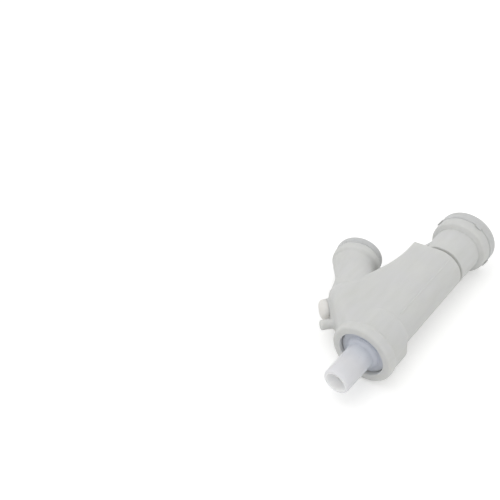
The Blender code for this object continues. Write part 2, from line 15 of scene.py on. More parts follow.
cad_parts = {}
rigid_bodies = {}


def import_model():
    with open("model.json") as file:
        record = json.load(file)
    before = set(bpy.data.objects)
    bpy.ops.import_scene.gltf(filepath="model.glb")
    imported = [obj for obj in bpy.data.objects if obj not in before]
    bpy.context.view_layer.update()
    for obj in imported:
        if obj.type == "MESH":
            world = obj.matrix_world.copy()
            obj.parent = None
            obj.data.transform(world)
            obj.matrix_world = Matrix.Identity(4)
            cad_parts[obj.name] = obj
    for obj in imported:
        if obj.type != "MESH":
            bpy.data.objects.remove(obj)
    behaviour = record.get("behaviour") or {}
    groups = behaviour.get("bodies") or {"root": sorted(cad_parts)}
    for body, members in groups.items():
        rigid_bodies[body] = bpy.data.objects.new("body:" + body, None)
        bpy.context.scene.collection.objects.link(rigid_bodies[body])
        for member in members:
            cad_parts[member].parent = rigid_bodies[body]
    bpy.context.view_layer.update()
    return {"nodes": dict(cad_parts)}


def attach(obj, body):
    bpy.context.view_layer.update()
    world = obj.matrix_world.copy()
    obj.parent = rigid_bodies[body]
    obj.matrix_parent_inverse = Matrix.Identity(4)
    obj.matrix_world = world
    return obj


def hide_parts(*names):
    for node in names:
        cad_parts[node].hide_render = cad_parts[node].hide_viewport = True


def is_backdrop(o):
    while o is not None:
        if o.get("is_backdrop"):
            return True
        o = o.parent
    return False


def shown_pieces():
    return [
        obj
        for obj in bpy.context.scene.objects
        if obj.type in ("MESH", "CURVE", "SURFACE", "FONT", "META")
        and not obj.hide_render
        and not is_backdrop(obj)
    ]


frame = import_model()
print("nodes:", ", ".join(sorted(frame["nodes"])))

# %% [markdown]
# ## Where things are
# The trap is easiest to think about along its own main tube: +Y from the outlet mouth to the
# inlet socket, the branch leaning towards -X, both axes at height zero. Lying down, it rolls a
# little, because its branch rim is smaller than its other two rims. Each new piece is modelled in
# the trap's own frame and then carried over into the frame of the solids by one matrix. The
# branch, its socket, the port and the peg have frames of their own, with +Y pointing outwards.

# %% The trap's own frame
MOUTH = Vector((0.02523, -0.06115, 0.02290))
ROLL = math.radians(-3.777)
TILT = math.radians(-0.039)
AT_REST = Matrix.Translation(MOUTH) @ Matrix.Rotation(TILT, 4, "X") @ Matrix.Rotation(ROLL, 4, "Y")

BRANCH_ANGLE = math.radians(33.0)
BRANCH_ROOT = Vector((0.0, -0.0060, 0.0))
ON_BRANCH = Matrix.Translation(BRANCH_ROOT) @ Matrix.Rotation(BRANCH_ANGLE, 4, "Z")

# the branch's socket is bent back towards the main tube, 16 degrees from the branch's own line
SOCKET_BEND = math.radians(-16.0)
SOCKET_ROOT = Vector((-0.02548, -0.01556, 0.0))
ON_SOCKET = Matrix.Translation(SOCKET_ROOT) @ Matrix.Rotation(BRANCH_ANGLE + SOCKET_BEND, 4, "Z")

PORT_END = Vector((-0.0465, 0.0185, 0.0))
PEG_END = Vector((-0.0376, 0.0066, 0.0))
FLANK_ANGLE = math.radians(137.0)
ON_PORT = Matrix.Translation(PORT_END) @ Matrix.Rotation(FLANK_ANGLE, 4, "Z")
ON_PEG = Matrix.Translation(PEG_END) @ Matrix.Rotation(FLANK_ANGLE, 4, "Z")
print("the mouth is at", [round(v, 4) for v in MOUTH])

# %% [markdown]
# ## The camera first
# The camera looks down at about 41 degrees from in front of the outlet, with a 49 mm lens on a
# 36 mm sensor, and leans two degrees to its side. It is set first, so that every later step can
# be judged from where the trap will be seen. The trap lies right of the middle of the frame.

# %% Camera
camera_data = bpy.data.cameras.new("view_camera")
camera_data.sensor_width = 36.0
camera_data.lens = 48.96
camera_data.clip_start = 0.01
camera = bpy.data.objects.new("view_camera", camera_data)
bpy.context.scene.collection.objects.link(camera)
camera.location = (0.1658, -0.3228, 0.3723)
camera.rotation_euler = (math.radians(48.73), math.radians(1.99), math.radians(40.02))
bpy.context.scene.camera = camera
print("camera at", [round(v, 3) for v in camera.location])

# %% [markdown]
# ## Small helpers for modelling
# Operators act on everything that is selected, so each step starts from an empty selection.
# `only` selects one object. `settle` gives a finished mesh its place in the frame and leaves its
# object at the origin. `apply_all` turns modifiers into plain mesh, and `weld_on` is a Boolean
# union. Where a Boolean left points on top of each other, `settle` merges them and takes out the
# faces that have no area.

# %% Selection and placing
# points closer than this, in metres, are one point
SAME_POINT = 0.000003


def only(obj):
    """Select one object and nothing else."""
    if bpy.context.object and bpy.context.object.mode != "OBJECT":
        bpy.ops.object.mode_set(mode="OBJECT")
    bpy.ops.object.select_all(action="DESELECT")
    obj.select_set(True)
    bpy.context.view_layer.objects.active = obj


def settle(obj, place=Matrix.Identity(4)):
    """Put the cleaned mesh at its place in the frame and leave the object at the origin."""
    only(obj)
    bpy.ops.object.mode_set(mode="EDIT")
    bpy.ops.mesh.select_all(action="SELECT")
    bpy.ops.mesh.remove_doubles(threshold=SAME_POINT)
    bpy.ops.mesh.dissolve_degenerate(threshold=SAME_POINT)
    bpy.ops.object.mode_set(mode="OBJECT")
    obj.matrix_world = AT_REST @ place @ obj.matrix_world
    bpy.ops.object.transform_apply(location=True, rotation=True, scale=True)


def apply_all(obj):
    """Apply every modifier of an object, from the first to the last."""
    only(obj)
    for name in [modifier.name for modifier in obj.modifiers]:
        bpy.ops.object.modifier_apply(modifier=name)


def weld_on(obj, other):
    """Join one closed solid to another, so that no inner faces stay behind."""
    union = obj.modifiers.new("weld", "BOOLEAN")
    union.operation = "UNION"
    union.solver = "EXACT"
    union.object = other
    bpy.context.view_layer.update()
    apply_all(obj)
    bpy.data.objects.remove(other)


def count(obj):
    """The number of triangles in an object's mesh."""
    obj.data.calc_loop_triangles()
    return len(obj.data.loop_triangles)


# %% [markdown]
# ## Turning a profile
# Most pieces of a trap are round, as they come out of round mould cores. A profile is drawn as
# points of (radius, distance along the axis), and spun once round the Y axis. The profile starts
# as a circle primitive with as many points as are needed, whose points are then put in place.
# Doubled points at the seam and on the axis are merged, and a fine bevel breaks the edges.

# %% Spin a profile


def spun(name, outline, steps=128, bevel=0.00025):
    """A turned piece about the Y axis, from closed outline points (radius, along)."""
    bpy.ops.object.select_all(action="DESELECT")
    bpy.ops.mesh.primitive_circle_add(vertices=len(outline), radius=0.01, fill_type="NOTHING")
    obj = bpy.context.object
    obj.name = name
    for vertex, (radius, along) in zip(obj.data.vertices, outline):
        vertex.co = (radius, along, 0.0)
    on_axis = [radius < 0.000001 for radius, along in outline]
    if any(on_axis):
        bpy.ops.object.mode_set(mode="EDIT")
        bpy.ops.mesh.select_mode(type="EDGE")
        bpy.ops.object.mode_set(mode="OBJECT")
        for vertex in obj.data.vertices:
            vertex.select = False
        for edge in obj.data.edges:
            edge.select = all(on_axis[corner] for corner in edge.vertices)
        bpy.ops.object.mode_set(mode="EDIT")
        bpy.ops.mesh.delete(type="EDGE")
        bpy.ops.mesh.select_mode(type="VERT")
    bpy.ops.object.mode_set(mode="EDIT")
    bpy.ops.mesh.select_all(action="SELECT")
    bpy.ops.mesh.spin(steps=steps, angle=2 * math.pi, center=(0.0, 0.0, 0.0), axis=(0.0, 1.0, 0.0))
    bpy.ops.mesh.select_all(action="SELECT")
    bpy.ops.mesh.remove_doubles(threshold=0.000001)
    bpy.ops.mesh.normals_make_consistent(inside=False)
    bpy.ops.object.mode_set(mode="OBJECT")
    if bevel:
        edges = obj.modifiers.new("broken edges", "BEVEL")
        edges.width = bevel
        edges.segments = 2
        edges.limit_method = "ANGLE"
        edges.angle_limit = math.radians(35.0)
        edges.use_clamp_overlap = True
        apply_all(obj)
    return obj


def shade(obj, degrees=40.0):
    """Shade smooth, but leave edges sharper than an angle crisp."""
    only(obj)
    bpy.ops.object.shade_smooth_by_angle(angle=math.radians(degrees))


# %% [markdown]
# ## The moulded body
# The body is one moulding: a tube, a flat-topped hull drawn off its side, a branch that swells
# where it leaves the hull, a collar round the mouth, a lug, a port and a peg. In the real mould
# all of these run into each other with soft fillets. Modelled by hand that is hard, so the piece
# is made the way a clay model would be: simple solids are pushed into each other, fused by a
# voxel remesh into one skin, and smoothed until the joints are soft. Only then are the bores cut,
# which keeps their edges crisp.
#
# The hull's section changes all along the tube. Between two neighbouring stations it is the
# convex hull of circles: one for the tube, and two small ones for the hull's side edges.

# %% The hull's sections
TUBE_R = 0.0175
TUBE_LENGTH = 0.1058
SOCKET_R = 0.0193
SOCKET_END = 0.0220
NARROWING = 0.0100
# distance along the tube, reach from the axis, side edge radius, half height
HULL = (
    (0.0045, 0.0215, 0.0125, 0.0168),
    (0.0100, 0.0265, 0.0130, 0.0168),
    (0.0200, 0.0370, 0.0130, 0.0168),
    (0.0280, 0.0450, 0.0130, 0.0168),
    (0.0340, 0.0480, 0.0130, 0.0168),
    (0.0400, 0.0446, 0.0125, 0.0168),
    (0.0470, 0.0388, 0.0105, 0.0168),
    (0.0550, 0.0340, 0.0080, 0.0168),
    (0.0650, 0.0294, 0.0055, 0.0168),
    (0.0760, 0.0252, 0.0040, 0.0166),
    (0.0911, 0.0223, 0.0022, 0.0163),
    (0.1058, 0.0220, 0.0012, 0.0163),
)


def between(rows, steps):
    """Rows of numbers on a smooth curve through the given rows."""
    ends = [rows[0]] + list(rows) + [rows[-1]]
    path = [rows[0]]
    for before, start, end, after in zip(ends, ends[1:], ends[2:], ends[3:]):
        for step in range(1, steps + 1):
            t = step / steps
            path.append(tuple(
                0.5 * (2 * b + (c - a) * t + (2 * a - 5 * b + 4 * c - d) * t * t
                       + (3 * b - a - 3 * c + d) * t ** 3)
                for a, b, c, d in zip(before, start, end, after)))
    return path


def eased(start, end, share):
    """A value on a soft S-curve between two others."""
    share = min(max(share, 0.0), 1.0)
    return start + (end - start) * share * share * (3.0 - 2.0 * share)


def tube_radius(along):
    """The tube narrows behind the outlet socket."""
    return eased(SOCKET_R, TUBE_R, (along - SOCKET_END) / NARROWING)


stations = between(HULL, 4)
print("hull stations:", len(stations))

# %% [markdown]
# Circles are added in edit mode, so they all land in one mesh. What is finished is hidden, which
# leaves only the new circles to be selected and wrapped in their convex hull.

# %% Wrap the hull, segment by segment


def hull_section(along, reach, edge_r, half_height):
    """Circles (across, height, radius) of the hull's section: the tube and two side edges."""
    across, height = edge_r - reach, half_height - edge_r
    return along, [(0.0, 0.0, tube_radius(along)), (across, height, edge_r), (across, -height, edge_r)]


def wrapped(name, sections):
    """Convex segments from section to section, all in one mesh."""
    bpy.ops.object.select_all(action="DESELECT")
    bpy.ops.mesh.primitive_circle_add(vertices=3, radius=0.001, location=(0.0, 0.0, 0.0))
    obj = bpy.context.object
    obj.name = name
    bpy.ops.object.mode_set(mode="EDIT")
    bpy.ops.mesh.select_all(action="SELECT")
    bpy.ops.mesh.delete(type="VERT")
    for pair in zip(sections, sections[1:]):
        for along, circles in pair:
            for across, height, radius in circles:
                place = (across, along, height)
                bpy.ops.mesh.primitive_circle_add(vertices=72, radius=radius, location=place,
                                                  rotation=(math.pi / 2, 0.0, 0.0))
        bpy.ops.mesh.select_all(action="SELECT")
        bpy.ops.mesh.convex_hull()
        bpy.ops.mesh.select_all(action="SELECT")
        bpy.ops.mesh.hide(unselected=False)
    bpy.ops.mesh.reveal(select=False)
    bpy.ops.object.mode_set(mode="OBJECT")
    return obj


# the tube runs on past its end and is cut off square later
RUN_ON = 0.0030
run_on = (TUBE_LENGTH + RUN_ON, *stations[-1][1:])
trap_body = wrapped("moulded_body", [hull_section(*row) for row in stations + [run_on]])
print("hull:", count(trap_body), "triangles")

# %% [markdown]
# The branch is drawn out of a circle: it is extruded along the branch and resized at each step,
# wide and flat at the root, narrow at the waist. Above the waist the socket bends back towards
# the main tube, so there each new ring is also turned a little about its own centre. The socket's
# steps are given in its own frame, and `from_socket` says where they lie in the branch's frame.

# %% The branch
# distance along the branch, distance across it, turn in degrees, half width, half height
BRANCH = (
    (0.0300, 0.0000, 0.0, 0.0150, 0.0140),
    (0.0450, 0.0000, 0.0, 0.0193, 0.0158),
    (0.0560, 0.0000, 0.0, 0.0198, 0.0162),
    (0.0671, -0.0004, 0.0, 0.0172, 0.0158),
    (0.0777, -0.0008, 0.0, 0.0148, 0.0149),
    (0.0850, -0.0012, -4.0, 0.0147, 0.0149),
    (0.0893, -0.0016, -10.0, 0.0156, 0.0156),
)
# distance along the socket, radius
SOCKET_STEPS = (
    (0.0896, 0.0162), (0.0914, 0.0164), (0.0919, 0.0166), (0.0926, 0.0174), (0.0934, 0.0181),
    (0.0944, 0.0184), (0.0985, 0.0184), (0.0991, 0.0181), (0.0996, 0.0171), (0.1042, 0.0171),
)


def from_socket(along, radius):
    """A step of the socket as a row of the branch."""
    point = ON_BRANCH.inverted() @ ON_SOCKET @ Vector((0.0, along, 0.0))
    return (point.y, point.x, math.degrees(SOCKET_BEND), radius, radius)


def drawn_out(name, rows, place):
    """A solid of elliptic sections, drawn out along +Y from row to row."""
    bpy.ops.object.select_all(action="DESELECT")
    along, across, turn, width, height = rows[0]
    bpy.ops.mesh.primitive_circle_add(vertices=96, radius=width, location=(across, along, 0.0),
                                      rotation=(math.pi / 2, 0.0, 0.0), fill_type="NGON")
    obj = bpy.context.object
    obj.name = name
    bpy.ops.object.transform_apply(location=True, rotation=True, scale=True)
    bpy.ops.object.mode_set(mode="EDIT")
    bpy.ops.mesh.select_all(action="SELECT")
    bpy.ops.transform.resize(value=(1.0, 1.0, height / width), center_override=(across, along, 0.0))
    for old, new in zip(rows, rows[1:]):
        along, across, turn, width, height = new
        centre = (across, along, 0.0)
        step = {"value": (across - old[1], along - old[0], 0.0)}
        bpy.ops.mesh.extrude_region_move(TRANSFORM_OT_translate=step)
        # a turned ring also has length along Y, so it is resized there too
        wider, higher = width / old[3], height / old[4]
        bpy.ops.transform.resize(value=(wider, wider if turn else 1.0, higher), center_override=centre)
        # without a window this operator turns the other way round, so the angle is negated
        if turn != old[2]:
            bpy.ops.transform.rotate(value=math.radians(old[2] - turn), orient_axis="Z",
                                     center_override=centre)
    bpy.ops.mesh.select_all(action="SELECT")
    bpy.ops.mesh.normals_make_consistent(inside=False)
    bpy.ops.object.mode_set(mode="OBJECT")
    obj.matrix_world = place
    bpy.ops.object.transform_apply(location=True, rotation=True, scale=True)
    return obj


socket_rows = [from_socket(*step) for step in SOCKET_STEPS]
branch_rows = between(BRANCH + (socket_rows[0],), 4) + socket_rows[1:]
branch = drawn_out("branch", branch_rows, ON_BRANCH)
tip = max(branch.data.vertices, key=lambda vertex: vertex.co.y).co
print("branch:", len(branch_rows), "sections, highest point", [round(v, 4) for v in tip])

# %% [markdown]
# The collar is turned. Its face is a little smaller than its rim, and a cone behind it runs into
# the hull. The port and the peg are turned too, square to the flank that they stand on.

# %% Collar, port and peg
collar = spun("collar", [(0.0, 0.0000), (0.0214, 0.0000), (0.0222, 0.0006), (0.0227, 0.0016),
                         (0.02285, 0.0030), (0.02285, 0.0060), (0.0224, 0.0072), (0.0205, 0.0086),
                         (0.0, 0.0086)], 128, 0.0)
port = spun("port", [(0.0, -0.0045), (0.0077, -0.0045), (0.0077, -0.0075), (0.0082, -0.0092),
                     (0.0100, -0.0120), (0.0104, -0.0160), (0.0, -0.0160)], 96, 0.0)
port.matrix_world = ON_PORT
peg = spun("peg", [(0.0, 0.0), (0.0025, 0.0), (0.0034, -0.0005), (0.0038, -0.0016), (0.0035, -0.0040),
                   (0.0036, -0.0085), (0.0052, -0.0112), (0.0052, -0.0150), (0.0, -0.0150)], 96, 0.0)
peg.matrix_world = ON_PEG
print("turned:", collar.name, port.name, peg.name)

# %% [markdown]
# Beside the mouth a lug runs along the outlet socket. Its outer side is drawn off the round like
# the hull, so it is wrapped in the same way, with two small circles for its edges. Its upper end
# falls off to the tube at a slant.

# %% The lug
LUG_ANGLE = math.radians(46.0)
# distance along the tube, radius of the round, reach of the lug
LUG = ((0.0008, 0.0200, 0.0224), (0.0275, 0.0192, 0.0226), (0.0288, 0.0184, 0.0225), (0.0318, 0.0168, 0.0174))


LUG_EDGE = 0.0014
LUG_HALF_WIDTH = 0.0036


def lug_section(along, round_r, reach):
    """Circles (across, height, radius) of the lug's section, on the side away from the hull."""
    out = reach - LUG_EDGE
    circles = [(0.0, 0.0, round_r)]
    for aside in (-LUG_HALF_WIDTH, LUG_HALF_WIDTH):
        circles.append((out * math.cos(LUG_ANGLE) + aside * math.sin(LUG_ANGLE),
                        aside * math.cos(LUG_ANGLE) - out * math.sin(LUG_ANGLE), LUG_EDGE))
    return along, circles


lug = wrapped("lug", [lug_section(*row) for row in LUG])
print("lug:", count(lug), "triangles")

# %% [markdown]
# Now the fuse. The solids are joined into one object, and a voxel remesh makes one closed skin of
# them. Voxels of 0.64 mm keep the piece under 200,000 triangles. The smoothing after it takes the
# grain off and leaves fillets of about 1.5 mm in the joints.

# %% Fuse and smooth
VOXEL = 0.00064
only(trap_body)
for other in (branch, collar, port, peg, lug):
    other.select_set(True)
bpy.ops.object.join()
fuse = trap_body.modifiers.new("fuse", "REMESH")
fuse.mode = "VOXEL"
fuse.voxel_size = VOXEL
soften = trap_body.modifiers.new("soften", "SMOOTH")
soften.factor = 0.5
soften.iterations = 8
apply_all(trap_body)
print("fused body:", count(trap_body), "triangles")

# %% [markdown]
# Where two slides of the mould met, a hair-fine raised line runs along the tube, 60 degrees up
# its plain side. It is finer than a voxel, so it is welded on after the remesh, as a thin round
# bar that is mostly sunk.

# %% The mould line
LINE_ANGLE = math.radians(60.0)
LINE_R = 0.0172
bar = [(LINE_R * math.cos(LINE_ANGLE), LINE_R * math.sin(LINE_ANGLE), 0.0006)]
mould_line = wrapped("mould_line", [(0.0345, bar), (0.1035, bar)])
weld_on(trap_body, mould_line)
print("with its mould line:", count(trap_body), "triangles")

# %% [markdown]
# The bores are cut last. One turned cutter makes the outlet socket and the tube's bore, one the
# branch's bore, one its pipe socket with the seal chamber, one the port and its flat rim. A block
# squares off the tube's end.

# %% Cut the bores


def square_cutter():
    """A block whose near face is the tube's end."""
    bpy.ops.object.select_all(action="DESELECT")
    bpy.ops.mesh.primitive_cube_add(size=1.0, location=(0.0, TUBE_LENGTH + 0.0100, 0.0))
    obj = bpy.context.object
    obj.name = "end_cutter"
    obj.scale = (0.0700, 0.0200, 0.0700)
    bpy.ops.object.transform_apply(location=True, rotation=True, scale=True)
    return obj


main_bore = spun("main_bore", [(0.0, -0.0200), (0.0176, -0.0200), (0.0176, -0.0005), (0.0166, 0.0005),
                               (0.0166, 0.0275), (0.0151, 0.0290), (0.0151, 0.1200), (0.0, 0.1200)], 128, 0.0)
branch_bore = spun("branch_bore", [(0.0, 0.0400), (0.0110, 0.0400), (0.0110, 0.0930), (0.0, 0.0930)], 96, 0.0)
branch_bore.matrix_world = ON_BRANCH
socket_bore = spun("socket_bore", [(0.0, 0.0870), (0.0111, 0.0870), (0.0111, 0.1000), (0.0154, 0.1000),
                                   (0.0154, 0.1200), (0.0, 0.1200)], 96, 0.0)
socket_bore.matrix_world = ON_SOCKET
port_bore = spun("port_bore", [(0.0, 0.0050), (0.0084, 0.0050), (0.0084, -0.0061), (0.0054, -0.0061),
                               (0.0054, -0.0140), (0.0, -0.0140)], 64, 0.0)
port_bore.matrix_world = ON_PORT
cutters = [main_bore, branch_bore, socket_bore, port_bore, square_cutter()]
for cutter in cutters:
    cut = trap_body.modifiers.new(cutter.name, "BOOLEAN")
    cut.operation = "DIFFERENCE"
    cut.solver = "EXACT"
    cut.object = cutter
bpy.context.view_layer.update()
apply_all(trap_body)
for cutter in cutters:
    bpy.data.objects.remove(cutter)
settle(trap_body)
shade(trap_body, 35.0)
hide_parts("trap_body")
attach(trap_body, "trap")
print("body:", count(trap_body), "triangles")

# %% [markdown]
# ## The inlet piece
# The upper socket is a separate turned moulding. Its bell takes a waste pipe from above, its
# lower end plugs into the tube with an O-ring, and a dip tube hangs from it inside the trap. All
# of that is one outline, drawn up the outside and back down the inside. The shoulder under the
# bell is a smooth curve through a few points.
#
# A small gusset stands in the corner between the neck and the tube's end. It is wrapped like the
# lug: two small circles at its foot, one in the neck's wall above.

# %% Inlet bell
shoulder = between([(0.0168, 0.1084), (0.0173, 0.1087), (0.0176, 0.1094), (0.0177, 0.1200),
                    (0.0180, 0.1322), (0.0184, 0.1336), (0.0200, 0.1347), (0.0213, 0.1355),
                    (0.0220, 0.1368), (0.0222, 0.1386)], 4)
inlet_outline = shoulder + [
    (0.0222, 0.1431), (0.0220, 0.1434), (0.0211, 0.1434), (0.0211, 0.1494), (0.0191, 0.1494),
    (0.0191, 0.1452), (0.0163, 0.1452), (0.0163, 0.1154), (0.0106, 0.1154), (0.0106, 0.0880),
    (0.0087, 0.0820), (0.0087, 0.0500), (0.0103, 0.0500), (0.0103, 0.0820), (0.0145, 0.0880),
    (0.0145, 0.0958), (0.0123, 0.0958), (0.0123, 0.0986), (0.0145, 0.0986), (0.0145, 0.1084),
]
inlet_bell = spun("inlet_bell", inlet_outline, 144, 0.0002)
# the gusset stands on the branch's side, 37 degrees up
GUSSET_ANGLE = math.radians(180.0 - 37.0)
GUSSET_X, GUSSET_Z = math.cos(GUSSET_ANGLE), math.sin(GUSSET_ANGLE)
foot = [(0.0170 * GUSSET_X, 0.0170 * GUSSET_Z, 0.0006), (0.0187 * GUSSET_X, 0.0187 * GUSSET_Z, 0.0015)]
upper = [(0.0171 * GUSSET_X, 0.0171 * GUSSET_Z, 0.0006)]
gusset = wrapped("gusset", [(0.1086, foot), (0.1200, upper)])
weld_on(inlet_bell, gusset)
settle(inlet_bell)
shade(inlet_bell, 25.0)
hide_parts("inlet_socket")
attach(inlet_bell, "inlet")
print("inlet bell:", count(inlet_bell), "triangles")

# %% [markdown]
# ## The two cap rings
# A cap ring snaps over the end of each socket and keeps its rubber seal in. Small tongues on its
# skirt reach down over the bell, where a tool can lift them. They are cubes at their size and
# place, bevelled, turned about the axis and welded on by a Boolean union.

# %% Cap rings with tongues


def tongue(inner, outer, first, last, degrees):
    """A bevelled block between two radii and two stations."""
    bpy.ops.object.select_all(action="DESELECT")
    bpy.ops.mesh.primitive_cube_add(size=1.0, location=((inner + outer) / 2, (first + last) / 2, 0.0))
    obj = bpy.context.object
    obj.scale = (outer - inner, last - first, 0.0050)
    bpy.ops.object.transform_apply(location=True, rotation=True, scale=True)
    bpy.ops.object.mode_set(mode="EDIT")
    bpy.ops.mesh.select_all(action="SELECT")
    bpy.ops.mesh.bevel(offset=0.0003, segments=3, affect="EDGES")
    bpy.ops.object.mode_set(mode="OBJECT")
    obj.matrix_world = Matrix.Rotation(math.radians(degrees), 4, "Y")
    bpy.ops.object.transform_apply(location=True, rotation=True, scale=True)
    return obj


def cap_ring(name, bore, outer, low, end, mouth, degrees, place):
    """A ring with a flat face, a skirt from low to end, and a tongue at each given angle."""
    face = end - 0.0016
    ring = spun(name, [(outer - 0.0006, end), (outer - 0.0002, end - 0.0002), (outer, end - 0.0006),
                       (outer, low + 0.0008), (outer - 0.0005, low), (bore, low), (bore, face),
                       (mouth, face), (mouth, end - 0.0004), (mouth + 0.0004, end)], 144, 0.0001)
    for angle in degrees:
        weld_on(ring, tongue(outer - 0.0004, outer + 0.0005, low - 0.0018, low + 0.0022, angle))
    settle(ring, place)
    shade(ring, 25.0)
    return ring


HERE = Matrix.Identity(4)
inlet_ring = cap_ring("inlet_cap_ring", 0.0213, 0.02277, 0.14345, 0.15129, 0.0169,
                      (299, 29, 119, 209), HERE)
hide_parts("inlet_snap_ring")
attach(inlet_ring, "inlet")
branch_ring = cap_ring("branch_cap_ring", 0.0171, 0.0179, 0.0996, 0.1060, 0.0116, (40, 220), ON_SOCKET)
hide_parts("branch_snap_ring")
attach(branch_ring, "trap")
print("cap rings:", count(inlet_ring), count(branch_ring), "triangles")

# %% [markdown]
# ## Rubber seals
# Each socket holds a lip seal: a ring with a thin slanted lip that bears on the pipe. The O-rings
# are cord-thin rings in grooves. Where the two halves of its mould met, an O-ring has a hair-fine
# flash line all round, so its outline is a circle with two tiny points.

# %% Seals and O-rings
inlet_seal = spun("inlet_seal", [(0.0188, 0.1491), (0.0188, 0.1455), (0.0175, 0.1455), (0.0159, 0.1461),
                                 (0.0159, 0.1467), (0.0177, 0.1481), (0.0177, 0.1491)], 128, 0.00012)
branch_seal = spun("branch_seal", [(0.0151, 0.1039), (0.0151, 0.1003), (0.0122, 0.1003), (0.0106, 0.1009),
                                   (0.0106, 0.1015), (0.0124, 0.1029), (0.0124, 0.1039)], 128, 0.00012)


def o_ring(name, major, along):
    """A cord ring of 2.1 mm, with a flash line on its two outer faces."""
    points = []
    for i in range(20):
        turn = 2 * math.pi * i / 20
        r = 0.0011 if i in (5, 15) else 0.00105
        points.append((major + r * math.cos(turn), along + r * math.sin(turn)))
    return spun(name, points, 128, 0.0)


inlet_cord = o_ring("inlet_cord_ring", 0.0137, 0.0972)
outlet_cord = o_ring("outlet_cord_ring", 0.0152, 0.0076)
seat = spun("ball_seat", [(0.0113, 0.0204), (0.0113, 0.0189), (0.0074, 0.0189), (0.0074, 0.0204)], 96, 0.0003)
for piece, node, body, place in (
        (inlet_seal, "inlet_lip_seal", "inlet", HERE),
        (branch_seal, "branch_lip_seal", "trap", ON_SOCKET),
        (inlet_cord, "inlet_o_ring", "inlet", HERE),
        (outlet_cord, "outlet_o_ring", "outlet", HERE),
        (seat, "ball_seat_washer", "outlet", HERE)):
    settle(piece, place)
    shade(piece, 50.0)
    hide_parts(node)
    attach(piece, body)
    print(piece.name, count(piece), "triangles")

# %% [markdown]
# ## The outlet insert and the ball valve
# The insert closes the wide mouth and carries the outlet spigot, whose root flares into a small step
# on the flange. Behind it, where water comes down, a hollow ball sits on a rubber seat inside a
# cage, and lifts when water flows.

# %% Outlet insert
root = [(eased(0.0117, 0.0095, step / 8), 0.0022 - 0.0031 * step / 8) for step in range(9)]
insert_outline = [
    (0.0070, 0.0186), (0.0116, 0.0186), (0.0116, 0.0141), (0.0160, 0.0141), (0.0160, 0.0090),
    (0.0138, 0.0090), (0.0138, 0.0062), (0.0160, 0.0062), (0.0163, 0.0050), (0.0163, 0.0038),
    (0.0160, 0.0030), (0.0124, 0.0030), (0.0122, 0.0022),
] + root + [
    (0.0093, -0.0268), (0.00915, -0.0278), (0.0087, -0.0286), (0.0080, -0.0290), (0.0070, -0.0290),
]
spigot_insert = spun("spigot_insert", insert_outline, 128, 0.00018)
settle(spigot_insert)
shade(spigot_insert)
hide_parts("outlet_insert")
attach(spigot_insert, "outlet")
print("insert:", count(spigot_insert), "triangles")

# %% [markdown]
# The ball is blown in two halves, and a fine weld line runs round its middle. The cage is a turned
# cup, with two slots cut right through it, which leave four bars.

# %% Ball and cage
BALL_CENTRE = 0.02894
arc = []
for i in range(49):
    turn = math.pi * i / 48 - math.pi / 2
    r = 0.0110 if i == 24 else 0.01096
    arc.append((max(r * math.cos(turn), 0.0), BALL_CENTRE + r * math.sin(turn)))
arc[0] = (0.0, arc[0][1])
arc[-1] = (0.0, arc[-1][1])
hollow_ball = spun("hollow_ball", arc, 96, 0.0)
settle(hollow_ball)
shade(hollow_ball, 60.0)
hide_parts("float_ball")
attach(hollow_ball, "ball")

barred_cage = spun("barred_cage", [(0.0129, 0.0444), (0.0133, 0.0440), (0.0133, 0.0144), (0.0119, 0.0144),
                                   (0.0119, 0.0430), (0.0079, 0.0430), (0.0079, 0.0444)], 96, 0.00015)
for degrees in (45.0, 135.0):
    bpy.ops.object.select_all(action="DESELECT")
    bpy.ops.mesh.primitive_cube_add(size=1.0, location=(0.0, 0.0294, 0.0))
    slot = bpy.context.object
    slot.scale = (0.0532, 0.0180, 0.0130)
    bpy.ops.object.transform_apply(location=True, rotation=True, scale=True)
    bpy.ops.object.mode_set(mode="EDIT")
    bpy.ops.mesh.select_all(action="SELECT")
    bpy.ops.mesh.bevel(offset=0.0012, segments=4, affect="EDGES")
    bpy.ops.object.mode_set(mode="OBJECT")
    slot.matrix_world = Matrix.Rotation(math.radians(degrees), 4, "Y")
    bpy.ops.object.transform_apply(location=True, rotation=True, scale=True)
    cut = barred_cage.modifiers.new("slot", "BOOLEAN")
    cut.operation = "DIFFERENCE"
    cut.solver = "EXACT"
    cut.object = slot
    apply_all(barred_cage)
    bpy.data.objects.remove(slot)
settle(barred_cage)
shade(barred_cage)
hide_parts("ball_cage")
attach(barred_cage, "outlet")
print("ball and cage:", count(hollow_ball), count(barred_cage), "triangles")

# %% [markdown]
# ## The port plug
# A soft push-in plug closes the unused port. Its head is domed, with a shallow dimple where the
# plastic entered the mould, and its shank is hollow so that it gives a little.

# %% Plug
dome = between([(0.0009, -0.0002), (0.0018, 0.0), (0.0040, -0.0001), (0.0057, -0.0006), (0.0069, -0.0016),
                (0.0075, -0.0030), (0.0076, -0.0044)], 3)
plug = spun("soft_plug", [(0.0, -0.0003)] + dome + [
    (0.0076, -0.0060), (0.0051, -0.0060), (0.0051, -0.0138), (0.0046, -0.0148), (0.0045, -0.0150),
    (0.0039, -0.0150), (0.0039, -0.0048), (0.0, -0.0048)], 96, 0.00015)
settle(plug, ON_PORT)
shade(plug)
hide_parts("port_plug")
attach(plug, "plug")
print("plug:", count(plug), "triangles")

# %% [markdown]
# ## Finishes
# Polypropylene in four finishes, a soft polyethylene and a rubber, each with one material, and one
# more for the cage. Colours are written as sRGB hex and turned to linear in one place.
# One helper adds a node, sets its inputs and links, and places nothing else.

# %% Colour and node helpers


def linear(hex_colour):
    """Linear RGBA from an sRGB hex string."""
    values = []
    for i in (0, 2, 4):
        share = int(hex_colour[i:i + 2], 16) / 255.0
        values.append(share / 12.92 if share <= 0.04045 else ((share + 0.055) / 1.055) ** 2.4)
    return (*values, 1.0)


